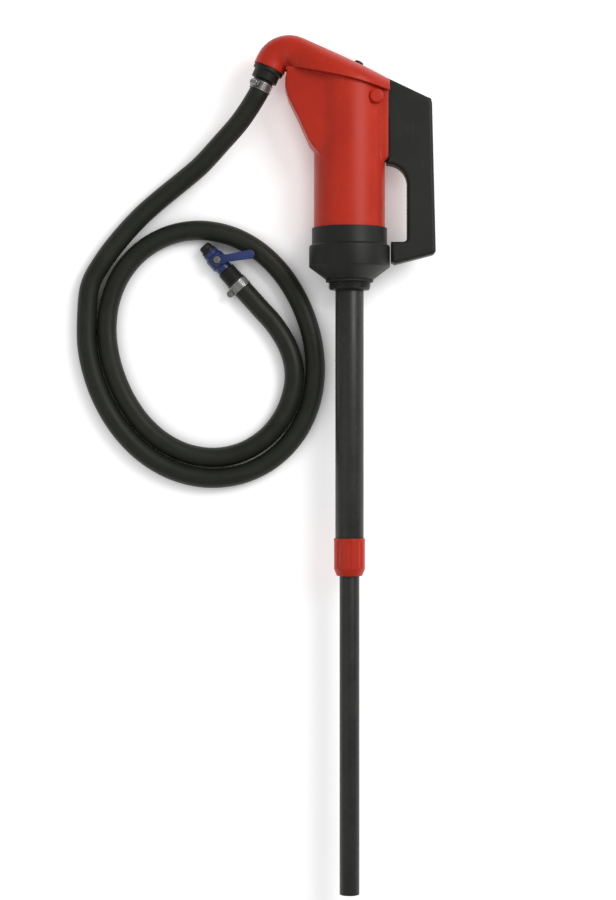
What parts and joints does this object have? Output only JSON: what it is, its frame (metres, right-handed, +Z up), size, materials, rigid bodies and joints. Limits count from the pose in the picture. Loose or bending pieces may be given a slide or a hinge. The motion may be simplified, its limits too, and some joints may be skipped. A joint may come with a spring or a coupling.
{
  "type": "lever hand transfer pump",
  "caption": "Lever-action hand pump for drums, with a telescopic suction tube, a spout and a coiled delivery hose ending in a ball-valve nozzle.",
  "frame": {"origin": "base centre of the pump lying on its side, without its hose, at floor level", "axes": "+X towards the lever, +Y along the pump towards its head, +Z up from the floor"},
  "size_m": [0.5102, 1.2102, 0.114],
  "materials": {
    "red_plastic": "moulded, satin",
    "black_plastic": "moulded, fine grain",
    "tube_plastic": "extruded, semi-matt",
    "hose_rubber": "smooth, semi-matt",
    "seal_rubber": "moulded",
    "zinc_steel": "zinc plated",
    "stainless_steel": "ground",
    "brass": "machined",
    "white_nylon": "moulded",
    "blue_plastic": "moulded"
  },
  "bodies": {
    "pump": {"pump_body": "red_plastic", "head_cover": "red_plastic", "vent_plug": "black_plastic", "spout_adapter": "black_plastic", "spout_seal": "seal_rubber", "base_collar": "black_plastic", "bung_gasket": "seal_rubber", "body_seal": "seal_rubber", "foot_valve_seat": "white_nylon", "foot_valve_stem": "stainless_steel", "cylinder_liner": "stainless_steel", "rod_guide": "brass", "rod_seal": "seal_rubber", "pivot_pin": "zinc_steel", "pivot_clip": "zinc_steel", "upper_suction_tube": "tube_plastic", "coupler_collet": "white_nylon", "delivery_hose": "hose_rubber", "spout_clamp": "zinc_steel", "spout_clamp_screw": "zinc_steel", "nozzle_clamp": "zinc_steel", "nozzle_clamp_screw": "zinc_steel", "nozzle_tail": "black_plastic", "valve_body": "blue_plastic", "outlet_spout": "black_plastic"},
    "lever": {"lever_handle": "black_plastic", "pivot_bush": "white_nylon"},
    "piston": {"piston": "white_nylon", "piston_seal": "seal_rubber", "piston_rod": "stainless_steel", "piston_nut": "zinc_steel", "rod_cross_pin": "stainless_steel"},
    "piston_valve": {"piston_valve_disc": "seal_rubber"},
    "foot_valve": {"foot_valve_disc": "seal_rubber"},
    "coupler": {"coupler_nut": "red_plastic"},
    "lower_tube": {"lower_suction_tube": "tube_plastic", "tube_stop_ring": "white_nylon"},
    "valve": {"valve_lever": "blue_plastic", "valve_stem": "brass", "valve_ball": "brass", "valve_lever_nut": "zinc_steel"}
  },
  "joints": [
    {"name": "lever_pivot", "type": "hinge", "parent": "pump", "child": "lever", "pos_m": [0.0467, 0.5139, 0.057], "axis": [0, 0, 1], "range_deg": [0, 60]},
    {"name": "piston_stroke", "type": "slide", "parent": "pump", "child": "piston", "axis": [0, 1, 0], "range_m": [-0.0428, 0]},
    {"name": "piston_valve_lift", "type": "slide", "parent": "piston", "child": "piston_valve", "axis": [0, 1, 0], "range_m": [0, 0.003]},
    {"name": "foot_valve_lift", "type": "slide", "parent": "pump", "child": "foot_valve", "axis": [0, 1, 0], "range_m": [0, 0.004]},
    {"name": "coupler_turn", "type": "hinge", "parent": "pump", "child": "coupler", "pos_m": [0.0097, -0.1221, 0.057], "axis": [0, 1, 0], "range_deg": [0, 270]},
    {"name": "tube_telescope", "type": "slide", "parent": "pump", "child": "lower_tube", "axis": [0, 1, 0], "range_m": [0, 0.29]},
    {"name": "valve_turn", "type": "hinge", "parent": "pump", "child": "valve", "pos_m": [-0.17796, 0.29132, 0.0155], "axis": [0, 0, 1], "range_deg": [-57.8, 32.2]}
  ],
  "couplings": [
    {"joint": "piston_stroke", "follows": "lever_pivot", "m_per_rad": -0.040798}
  ]
}
